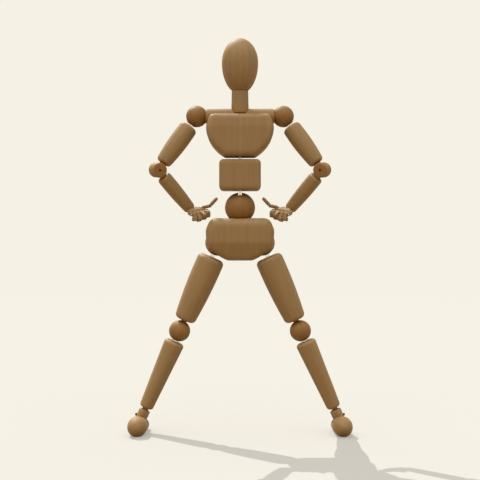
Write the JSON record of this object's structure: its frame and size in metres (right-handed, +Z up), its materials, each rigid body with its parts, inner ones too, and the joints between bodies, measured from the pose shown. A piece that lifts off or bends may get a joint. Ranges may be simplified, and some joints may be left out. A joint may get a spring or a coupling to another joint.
{
  "type": "wooden artist mannequin",
  "caption": "Posable wooden artist's figure with an egg head, ball joints, barrel elbows and jointed hands, standing with legs apart and hands at its hips.",
  "frame": {"origin": "on the floor, in the middle of the stance between the two soles", "axes": "+Z up, the figure faces -Y, +X towards the figure's left hand"},
  "size_m": [0.164, 0.0399, 0.2929],
  "materials": {
    "limb_wood": "satin",
    "ball_wood": "satin",
    "steel": "satin",
    "dark_pin": "matte"
  },
  "bodies": {
    "pelvis": {"pelvis": "limb_wood", "hip_rod": "steel"},
    "waist_ball": {"waist_ball": "ball_wood"},
    "abdomen": {"abdomen": "limb_wood", "waist_tongue": "steel", "chest_post": "steel"},
    "chest": {"chest": "limb_wood", "shoulder_yoke": "limb_wood"},
    "neck": {"neck": "limb_wood", "head_tongue": "steel"},
    "head": {"head": "limb_wood"},
    "right_hip_ball": {"right_hip_ball": "ball_wood"},
    "right_thigh": {"right_thigh": "limb_wood", "right_thigh_tongue": "steel"},
    "right_knee_ball": {"right_knee_ball": "ball_wood"},
    "right_shin": {"right_shin": "limb_wood", "right_shin_tongue": "steel"},
    "right_ankle": {"right_ankle": "limb_wood", "right_ankle_pin": "dark_pin"},
    "right_foot": {"right_foot": "limb_wood"},
    "right_shoulder_ball": {"right_shoulder_ball": "ball_wood"},
    "right_upper_arm": {"right_upper_arm": "limb_wood", "right_upper_arm_tongue": "steel"},
    "right_elbow": {"right_elbow": "ball_wood", "right_elbow_pin": "dark_pin"},
    "right_forearm": {"right_forearm": "limb_wood", "right_forearm_tongue": "steel"},
    "right_palm": {"right_palm": "limb_wood", "right_knuckle_pin": "steel"},
    "right_index_finger": {"right_index_finger": "limb_wood"},
    "right_middle_finger": {"right_middle_finger": "limb_wood"},
    "right_ring_finger": {"right_ring_finger": "limb_wood"},
    "right_little_finger": {"right_little_finger": "limb_wood"},
    "right_thumb_base": {"right_thumb_base": "limb_wood"},
    "right_thumb_tip": {"right_thumb_tip": "limb_wood"},
    "left_hip_ball": {"left_hip_ball": "ball_wood"},
    "left_thigh": {"left_thigh": "limb_wood", "left_thigh_tongue": "steel"},
    "left_knee_ball": {"left_knee_ball": "ball_wood"},
    "left_shin": {"left_shin": "limb_wood", "left_shin_tongue": "steel"},
    "left_ankle": {"left_ankle": "limb_wood", "left_ankle_pin": "dark_pin"},
    "left_foot": {"left_foot": "limb_wood"},
    "left_shoulder_ball": {"left_shoulder_ball": "ball_wood"},
    "left_upper_arm": {"left_upper_arm": "limb_wood", "left_upper_arm_tongue": "steel"},
    "left_elbow": {"left_elbow": "ball_wood", "left_elbow_pin": "dark_pin"},
    "left_forearm": {"left_forearm": "limb_wood", "left_forearm_tongue": "steel"},
    "left_palm": {"left_palm": "limb_wood", "left_knuckle_pin": "steel"},
    "left_index_finger": {"left_index_finger": "limb_wood"},
    "left_middle_finger": {"left_middle_finger": "limb_wood"},
    "left_ring_finger": {"left_ring_finger": "limb_wood"},
    "left_little_finger": {"left_little_finger": "limb_wood"},
    "left_thumb_base": {"left_thumb_base": "limb_wood"},
    "left_thumb_tip": {"left_thumb_tip": "limb_wood"}
  },
  "joints": [
    {"name": "head_nod", "type": "hinge", "parent": "neck", "child": "head", "pos_m": [0, 0.00672, 0.26208], "axis": [1, 0, 0], "range_deg": [-22, 22]},
    {"name": "neck_turn", "type": "hinge", "parent": "chest", "child": "neck", "pos_m": [0, 0.00672, 0.26208], "axis": [0, 0, 1], "range_deg": [-75, 75]},
    {"name": "waist_bend", "type": "hinge", "parent": "waist_ball", "child": "abdomen", "pos_m": [0, 0.00672, 0.16676], "axis": [1, 0, 0], "range_deg": [-18, 20]},
    {"name": "waist_turn", "type": "hinge", "parent": "pelvis", "child": "waist_ball", "pos_m": [0, 0.00672, 0.16676], "axis": [0, 0, 1], "range_deg": [-40, 40]},
    {"name": "chest_turn", "type": "hinge", "parent": "abdomen", "child": "chest", "pos_m": [0, 0.00672, 0.20436], "axis": [0, 0, 1], "range_deg": [-35, 35]},
    {"name": "right_shoulder_swing", "type": "hinge", "parent": "chest", "child": "right_shoulder_ball", "pos_m": [-0.0322, 0.00672, 0.23466], "axis": [-1, 0, 0], "range_deg": [-40, 70]},
    {"name": "left_shoulder_swing", "type": "hinge", "parent": "chest", "child": "left_shoulder_ball", "pos_m": [0.0322, 0.00672, 0.23466], "axis": [-1, 0, 0], "range_deg": [-40, 70]},
    {"name": "right_shoulder_raise", "type": "hinge", "parent": "right_shoulder_ball", "child": "right_upper_arm", "pos_m": [-0.0322, 0.00672, 0.23466], "axis": [0, 0.981, -0.1942], "range_deg": [-1, 70]},
    {"name": "left_shoulder_raise", "type": "hinge", "parent": "left_shoulder_ball", "child": "left_upper_arm", "pos_m": [0.0322, 0.00672, 0.23466], "axis": [0, -0.981, 0.1942], "range_deg": [-1, 70]},
    {"name": "right_elbow_bend", "type": "hinge", "parent": "right_elbow", "child": "right_forearm", "pos_m": [-0.06059, -0.00127, 0.19429], "axis": [0.3953, -0.9134, -0.0971], "range_deg": [-70, 7]},
    {"name": "left_elbow_bend", "type": "hinge", "parent": "left_elbow", "child": "left_forearm", "pos_m": [0.06059, -0.00127, 0.19429], "axis": [0.3953, 0.9134, 0.0971], "range_deg": [-70, 7]},
    {"name": "right_elbow_turn", "type": "hinge", "parent": "right_upper_arm", "child": "right_elbow", "pos_m": [-0.06059, -0.00127, 0.19429], "axis": [-0.5678, -0.1599, -0.8075], "range_deg": [-20, 60]},
    {"name": "left_elbow_turn", "type": "hinge", "parent": "left_upper_arm", "child": "left_elbow", "pos_m": [0.06059, -0.00127, 0.19429], "axis": [-0.5678, 0.1599, 0.8075], "range_deg": [-20, 60]},
    {"name": "right_hip_swing", "type": "hinge", "parent": "pelvis", "child": "right_hip_ball", "pos_m": [-0.0161, 0.00672, 0.14071], "axis": [-1, 0, 0], "range_deg": [-25, 30]},
    {"name": "left_hip_swing", "type": "hinge", "parent": "pelvis", "child": "left_hip_ball", "pos_m": [0.0161, 0.00672, 0.14071], "axis": [-1, 0, 0], "range_deg": [-25, 30]},
    {"name": "right_hip_spread", "type": "hinge", "parent": "right_hip_ball", "child": "right_thigh", "pos_m": [-0.0161, 0.00672, 0.14071], "axis": [0, 1, 0], "range_deg": [-7, 20]},
    {"name": "left_hip_spread", "type": "hinge", "parent": "left_hip_ball", "child": "left_thigh", "pos_m": [0.0161, 0.00672, 0.14071], "axis": [0, -1, 0], "range_deg": [-7, 20]},
    {"name": "right_knee_bend", "type": "hinge", "parent": "right_knee_ball", "child": "right_shin", "pos_m": [-0.04498, 0.00672, 0.07508], "axis": [0.9153, 0, -0.4027], "range_deg": [0, 80]},
    {"name": "left_knee_bend", "type": "hinge", "parent": "left_knee_ball", "child": "left_shin", "pos_m": [0.04498, 0.00672, 0.07508], "axis": [0.9153, 0, 0.4027], "range_deg": [0, 80]},
    {"name": "right_knee_turn", "type": "hinge", "parent": "right_thigh", "child": "right_knee_ball", "pos_m": [-0.04498, 0.00672, 0.07508], "axis": [-0.4027, 0, -0.9153], "range_deg": [-30, 30]},
    {"name": "left_knee_turn", "type": "hinge", "parent": "left_thigh", "child": "left_knee_ball", "pos_m": [0.04498, 0.00672, 0.07508], "axis": [-0.4027, 0, 0.9153], "range_deg": [-30, 30]},
    {"name": "right_foot_flex", "type": "hinge", "parent": "right_ankle", "child": "right_foot", "pos_m": [-0.07313, 0.00672, 0.0111], "axis": [0.9153, 0, -0.4027], "range_deg": [-18, 18]},
    {"name": "left_foot_flex", "type": "hinge", "parent": "left_ankle", "child": "left_foot", "pos_m": [0.07313, 0.00672, 0.0111], "axis": [0.9153, 0, 0.4027], "range_deg": [-18, 18]},
    {"name": "right_ankle_turn", "type": "hinge", "parent": "right_shin", "child": "right_ankle", "pos_m": [-0.07313, 0.00672, 0.0111], "axis": [-0.4027, 0, -0.9153], "range_deg": [-25, 25]},
    {"name": "left_ankle_turn", "type": "hinge", "parent": "left_shin", "child": "left_ankle", "pos_m": [0.07313, 0.00672, 0.0111], "axis": [-0.4027, 0, 0.9153], "range_deg": [-25, 25]},
    {"name": "right_wrist_turn", "type": "hinge", "parent": "right_forearm", "child": "right_palm", "pos_m": [-0.03684, 0.01209, 0.16528], "axis": [0.5967, 0.3357, -0.7288], "range_deg": [-30, 30]},
    {"name": "left_wrist_turn", "type": "hinge", "parent": "left_forearm", "child": "left_palm", "pos_m": [0.03684, 0.01209, 0.16528], "axis": [0.5967, -0.3357, 0.7288], "range_deg": [-30, 30]},
    {"name": "right_thumb_turn", "type": "hinge", "parent": "right_palm", "child": "right_thumb_base", "pos_m": [-0.03127, 0.01085, 0.16646], "axis": [0.9478, -0.256, 0.1901], "range_deg": [-20, 20]},
    {"name": "left_thumb_turn", "type": "hinge", "parent": "left_palm", "child": "left_thumb_base", "pos_m": [0.03127, 0.01085, 0.16646], "axis": [0.9478, 0.256, -0.1901], "range_deg": [-20, 20]},
    {"name": "right_thumb_bend", "type": "hinge", "parent": "right_thumb_base", "child": "right_thumb_tip", "pos_m": [-0.02255, 0.0085, 0.1682], "axis": [-0.1914, -0.9336, -0.3029], "range_deg": [-15, 15]},
    {"name": "left_thumb_bend", "type": "hinge", "parent": "left_thumb_base", "child": "left_thumb_tip", "pos_m": [0.02255, 0.0085, 0.1682], "axis": [-0.1914, 0.9336, 0.3029], "range_deg": [-15, 15]},
    {"name": "right_index_finger_bend", "type": "hinge", "parent": "right_palm", "child": "right_index_finger", "pos_m": [-0.02594, 0.00598, 0.16375], "axis": [0.857, 0.4813, 0.1842], "range_deg": [-20, 50]},
    {"name": "left_index_finger_bend", "type": "hinge", "parent": "left_palm", "child": "left_index_finger", "pos_m": [0.02594, 0.00598, 0.16375], "axis": [0.857, -0.4813, -0.1842], "range_deg": [-20, 50]},
    {"name": "right_middle_finger_bend", "type": "hinge", "parent": "right_palm", "child": "right_middle_finger", "pos_m": [-0.02864, 0.00447, 0.16317], "axis": [0.857, 0.4813, 0.1842], "range_deg": [-30, 45]},
    {"name": "left_middle_finger_bend", "type": "hinge", "parent": "left_palm", "child": "left_middle_finger", "pos_m": [0.02864, 0.00447, 0.16317], "axis": [0.857, -0.4813, -0.1842], "range_deg": [-30, 45]},
    {"name": "right_ring_finger_bend", "type": "hinge", "parent": "right_palm", "child": "right_ring_finger", "pos_m": [-0.03134, 0.00295, 0.16259], "axis": [0.857, 0.4813, 0.1842], "range_deg": [-45, 25]},
    {"name": "left_ring_finger_bend", "type": "hinge", "parent": "left_palm", "child": "left_ring_finger", "pos_m": [0.03134, 0.00295, 0.16259], "axis": [0.857, -0.4813, -0.1842], "range_deg": [-45, 25]},
    {"name": "right_little_finger_bend", "type": "hinge", "parent": "right_palm", "child": "right_little_finger", "pos_m": [-0.03404, 0.00144, 0.16201], "axis": [0.857, 0.4813, 0.1842], "range_deg": [-50, 15]},
    {"name": "left_little_finger_bend", "type": "hinge", "parent": "left_palm", "child": "left_little_finger", "pos_m": [0.03404, 0.00144, 0.16201], "axis": [0.857, -0.4813, -0.1842], "range_deg": [-50, 15]}
  ]
}
